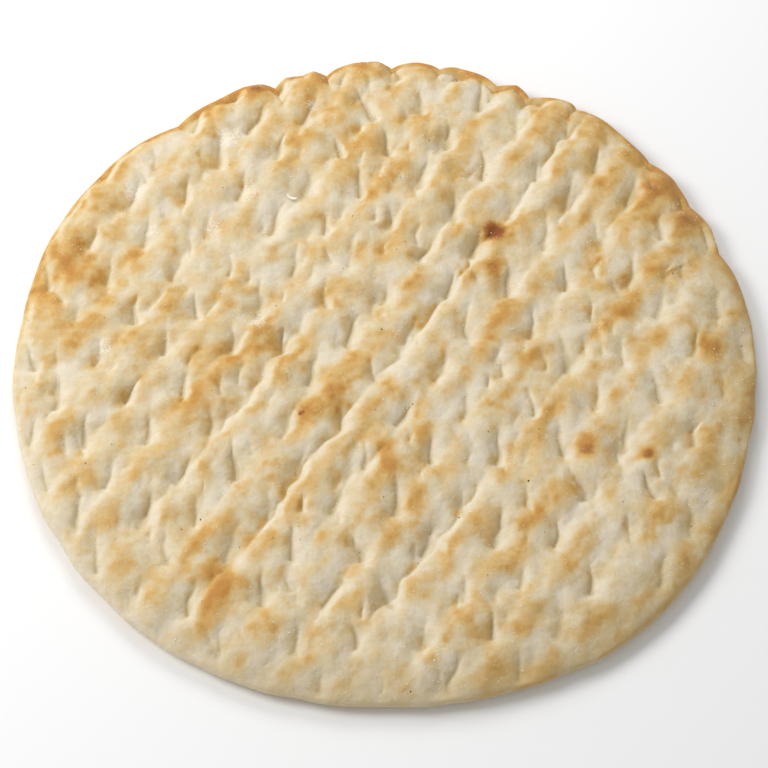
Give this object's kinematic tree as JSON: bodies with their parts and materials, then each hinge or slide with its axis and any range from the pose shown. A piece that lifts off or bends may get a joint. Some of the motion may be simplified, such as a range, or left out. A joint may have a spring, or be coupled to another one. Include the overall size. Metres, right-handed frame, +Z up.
{
  "type": "pizza crust",
  "caption": "Round ready-baked pizza crust, a flat disc of dough with slanting rows of docking dimples and a softly rounded, lobed edge.",
  "frame": {"origin": "on the table under the middle of the crust's box", "axes": "+Z up, through the thickness; +X to the right and +Y to the back, with the rows of dimples running from front left to back right"},
  "size_m": [0.3042, 0.3052, 0.0141],
  "materials": {
    "baked_dough": "matte baked crumb, pale in the dimples and toasted on the ridges"
  },
  "bodies": {
    "root": {"crust": "baked_dough"}
  },
  "joints": []
}
